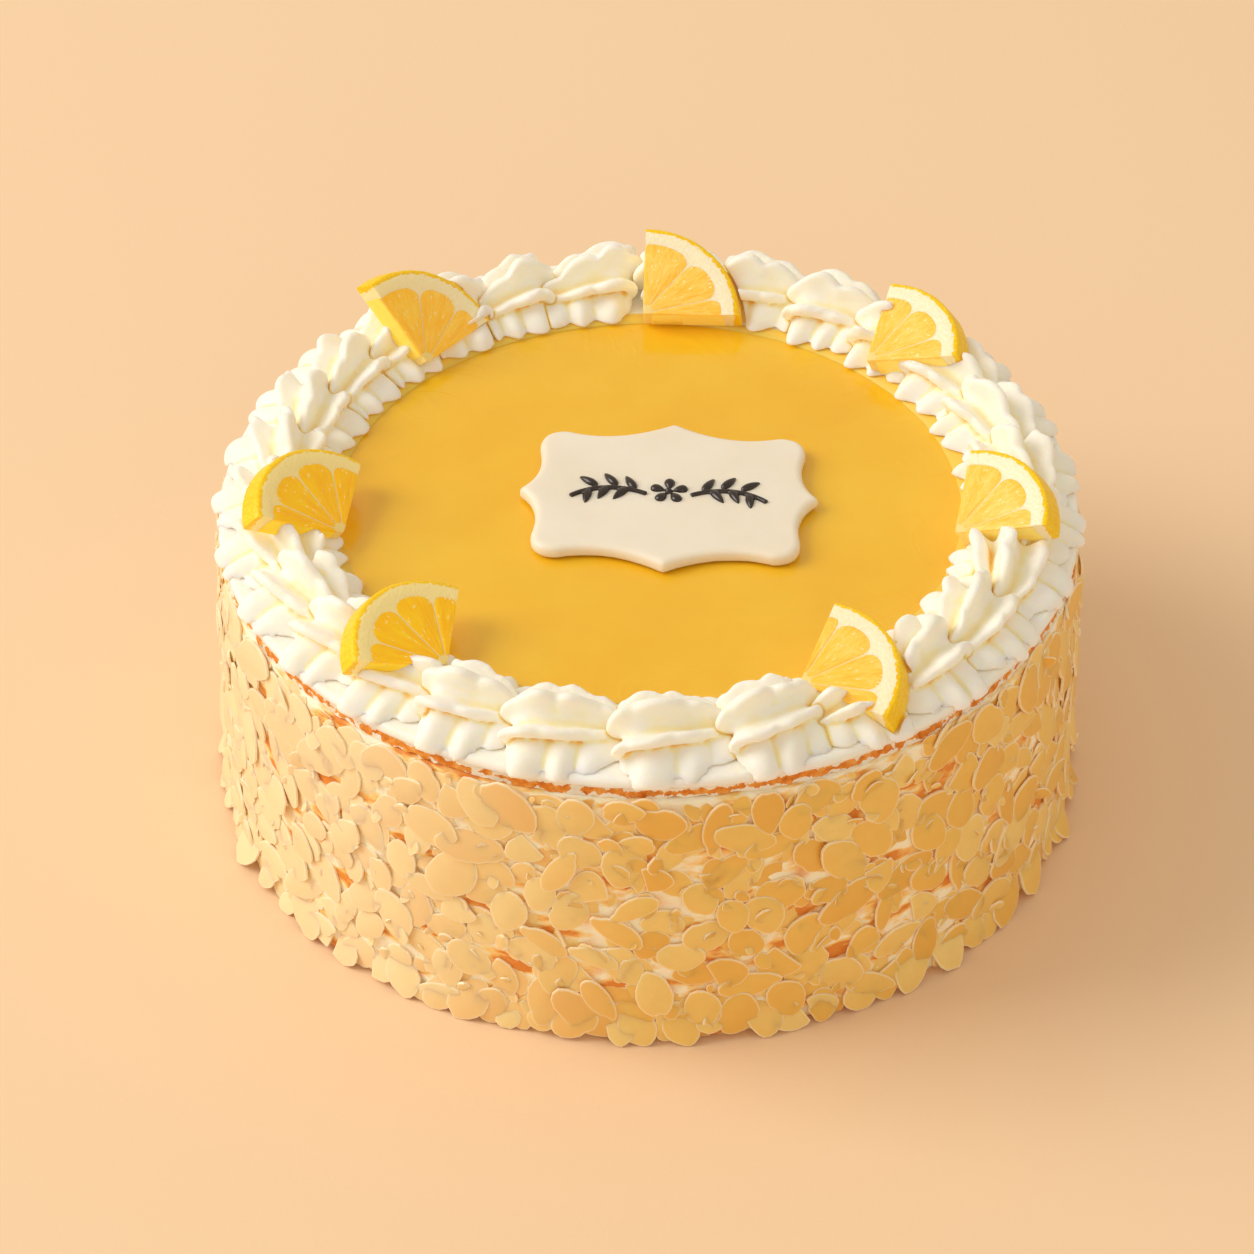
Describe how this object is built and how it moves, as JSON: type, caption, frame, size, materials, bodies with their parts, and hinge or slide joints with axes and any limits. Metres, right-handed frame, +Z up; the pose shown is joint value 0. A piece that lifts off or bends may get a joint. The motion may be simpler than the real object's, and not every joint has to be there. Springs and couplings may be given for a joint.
{
  "type": "lemon cream cake",
  "caption": "Tall round cake with flaked almonds on its side, a lemon jelly top, a piped cream border, lemon slices and an icing plaque with a piped sprig.",
  "frame": {"origin": "middle of the flat base that the cake rests on", "axes": "+Z up through the middle of the cake; -Y is the front, towards the viewer who reads the plaque upright"},
  "size_m": [0.2492, 0.2478, 0.1169],
  "materials": {
    "sponge": "browned cake crust",
    "almond": "flaked almonds on cream",
    "cream": "piped whipped cream",
    "glaze": "glossy lemon jelly",
    "lemon": "fresh lemon, wet cut face",
    "icing": "smooth sugar icing",
    "chocolate": "glossy dark chocolate piping"
  },
  "bodies": {
    "root": {"sponge": "sponge", "almond_coat": "almond", "top_cream": "cream", "lemon_glaze": "glaze", "lemon_slice_1": "lemon", "lemon_slice_2": "lemon", "lemon_slice_3": "lemon", "lemon_slice_4": "lemon", "lemon_slice_5": "lemon", "lemon_slice_6": "lemon", "lemon_slice_7": "lemon", "cream_shell_01": "cream", "cream_shell_02": "cream", "cream_shell_03": "cream", "cream_shell_04": "cream", "cream_shell_05": "cream", "cream_shell_06": "cream", "cream_shell_07": "cream", "cream_shell_08": "cream", "cream_shell_09": "cream", "cream_shell_10": "cream", "cream_shell_11": "cream", "cream_shell_12": "cream", "cream_shell_13": "cream", "cream_shell_14": "cream", "cream_shell_15": "cream", "cream_shell_16": "cream", "cream_shell_17": "cream", "cream_shell_18": "cream", "cream_shell_19": "cream", "cream_shell_20": "cream", "cream_shell_21": "cream", "cream_shell_22": "cream", "cream_shell_23": "cream", "cream_shell_24": "cream", "cream_shell_25": "cream", "cream_shell_26": "cream", "cream_shell_27": "cream", "cream_shell_28": "cream", "plaque": "icing"}
  },
  "joints": []
}
